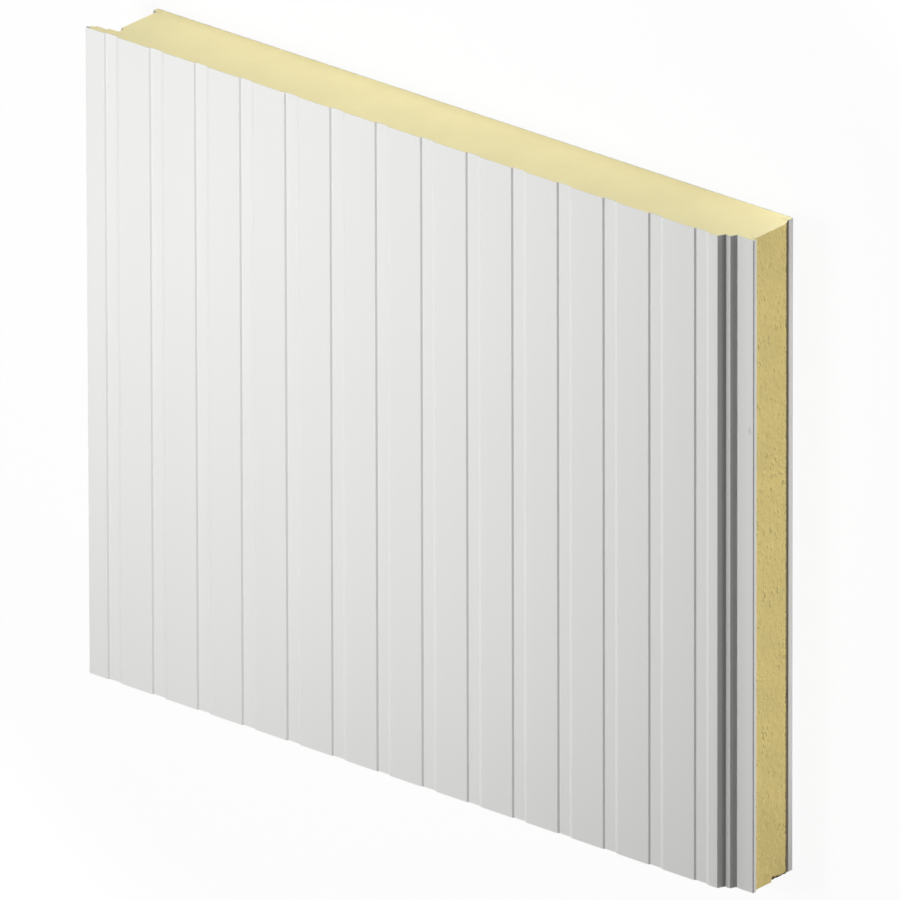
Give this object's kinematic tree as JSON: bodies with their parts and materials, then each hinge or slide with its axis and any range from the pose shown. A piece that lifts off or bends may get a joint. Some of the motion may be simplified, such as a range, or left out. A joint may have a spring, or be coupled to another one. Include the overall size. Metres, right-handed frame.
{
  "type": "insulated wall sandwich panel with secret-fix joint",
  "caption": "Foam-filled wall panel offcut: shallow-ribbed coated steel face, flat inner face, hemmed cover tongue on one edge and a stepped screw recess on the other.",
  "frame": {"origin": "middle of the panel's footprint, at the underside of the inner sheet", "axes": "+X across the ribs from the cover tongue to the screw recess, +Y along the ribs, +Z out of the ribbed outer face"},
  "size_m": [1.0376, 0.85, 0.1],
  "materials": {
    "outer_coating": "grey-white baked coating, satin",
    "rigid_foam": "pale yellow rigid foam, sawn at the ends, moulded at the joint edges",
    "inner_coating": "grey-white baked coating, satin"
  },
  "bodies": {
    "root": {"outer_sheet": "outer_coating", "foam_core": "rigid_foam", "inner_sheet": "inner_coating"}
  },
  "joints": []
}
